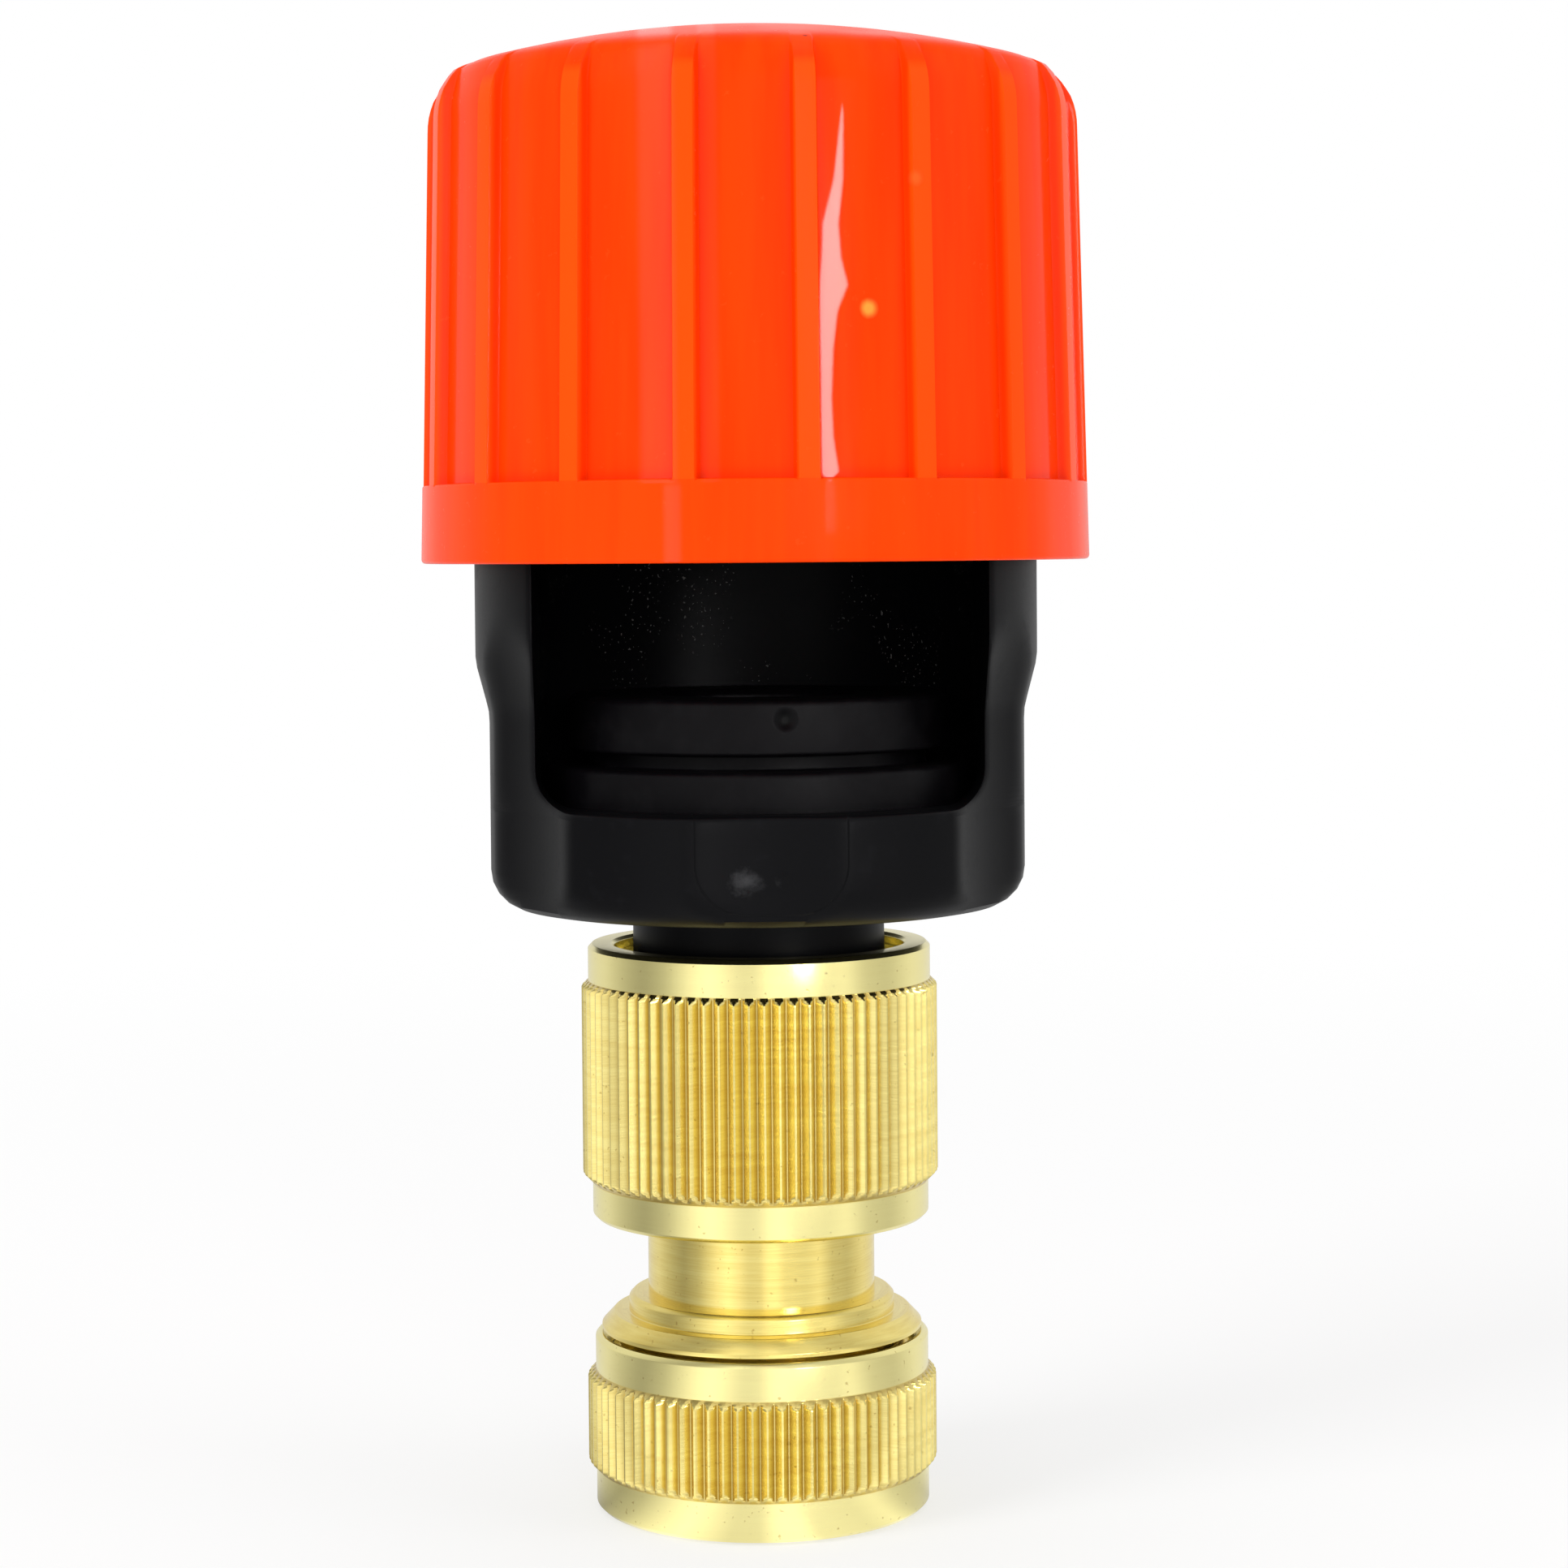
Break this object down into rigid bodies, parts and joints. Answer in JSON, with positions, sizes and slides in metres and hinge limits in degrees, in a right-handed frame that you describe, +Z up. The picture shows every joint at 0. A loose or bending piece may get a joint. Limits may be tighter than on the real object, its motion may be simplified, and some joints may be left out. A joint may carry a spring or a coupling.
{
  "type": "garden hose quick connector",
  "caption": "Turned brass click connector for a garden hose, snapped on the spigot of a tap adaptor whose screw cap clamps a mixer tap in its windowed body.",
  "frame": {"origin": "centre of the hose nut's foot, where the part stands", "axes": "+Z up the common axis from the hose end to the screw cap; -Y out of the tap window"},
  "size_m": [0.0546, 0.0546, 0.1207],
  "materials": {
    "brass": "satin turned, clear",
    "orange_plastic": "gloss moulded",
    "black_plastic": "semi-gloss moulded",
    "seal_rubber": "soft matt",
    "grip_plastic": "natural moulded",
    "spring_steel": "drawn wire",
    "ball_steel": "polished",
    "screw_steel": "plain"
  },
  "bodies": {
    "connector": {"socket_sleeve": "brass", "tail_body": "brass", "joint_seal": "seal_rubber", "spring_clip": "spring_steel", "spring_washer": "brass", "collar_spring": "spring_steel"},
    "collar": {"release_collar": "brass"},
    "grip": {"grip_collet": "grip_plastic"},
    "nut": {"hose_nut": "brass"},
    "adaptor": {"tap_body": "black_plastic", "tap_seal": "seal_rubber", "spigot_o_ring": "seal_rubber"},
    "pad": {"pressure_disc": "black_plastic", "pad_face": "seal_rubber"},
    "cap": {"screw_cap": "orange_plastic", "pad_screw": "screw_steel"},
    "ball_1": {"lock_ball_1": "ball_steel"},
    "ball_2": {"lock_ball_2": "ball_steel"},
    "ball_3": {"lock_ball_3": "ball_steel"},
    "ball_4": {"lock_ball_4": "ball_steel"},
    "ball_5": {"lock_ball_5": "ball_steel"},
    "ball_6": {"lock_ball_6": "ball_steel"}
  },
  "joints": [
    {"name": "swivel", "type": "hinge", "parent": "connector", "child": "adaptor", "pos_m": [0, 0, 0.044], "axis": [0, 0, 1], "continuous": true},
    {"name": "pad_lift", "type": "slide", "parent": "adaptor", "child": "pad", "axis": [0, 0, 1], "range_m": [0, 0.0275]},
    {"name": "cap_turn", "type": "hinge", "parent": "pad", "child": "cap", "pos_m": [0, 0, 0.1], "axis": [0, 0, 1], "range_deg": [0, 1980]},
    {"name": "collar_pull", "type": "slide", "parent": "connector", "child": "collar", "axis": [0, 0, -1], "range_m": [0, 0.0036], "stiffness_N_per_m": 1100, "springref_m": -0.008, "deforming": ["collar_spring"]},
    {"name": "grip_drop", "type": "slide", "parent": "connector", "child": "grip", "axis": [0, 0, -1], "range_m": [0, 0.0045]},
    {"name": "nut_turn", "type": "hinge", "parent": "grip", "child": "nut", "pos_m": [0, 0, 0.0074], "axis": [0, 0, -1], "range_deg": [0, 1080]},
    {"name": "ball_out_1", "type": "slide", "parent": "connector", "child": "ball_1", "axis": [1, 0, 0], "range_m": [0, 0.00125]},
    {"name": "ball_out_2", "type": "slide", "parent": "connector", "child": "ball_2", "axis": [0.5, 0.866, 0], "range_m": [0, 0.00125]},
    {"name": "ball_out_3", "type": "slide", "parent": "connector", "child": "ball_3", "axis": [-0.5, 0.866, 0], "range_m": [0, 0.00125]},
    {"name": "ball_out_4", "type": "slide", "parent": "connector", "child": "ball_4", "axis": [-1, 0, 0], "range_m": [0, 0.00125]},
    {"name": "ball_out_5", "type": "slide", "parent": "connector", "child": "ball_5", "axis": [-0.5, -0.866, 0], "range_m": [0, 0.00125]},
    {"name": "ball_out_6", "type": "slide", "parent": "connector", "child": "ball_6", "axis": [0.5, -0.866, 0], "range_m": [0, 0.00125]}
  ],
  "couplings": [
    {"joint": "pad_lift", "follows": "cap_turn", "m_per_rad": 0.00079577},
    {"joint": "grip_drop", "follows": "nut_turn", "m_per_rad": 0.00023873},
    {"joint": "ball_out_1", "follows": "collar_pull", "ratio": 0.347},
    {"joint": "ball_out_2", "follows": "collar_pull", "ratio": 0.347},
    {"joint": "ball_out_3", "follows": "collar_pull", "ratio": 0.347},
    {"joint": "ball_out_4", "follows": "collar_pull", "ratio": 0.347},
    {"joint": "ball_out_5", "follows": "collar_pull", "ratio": 0.347},
    {"joint": "ball_out_6", "follows": "collar_pull", "ratio": 0.347}
  ]
}
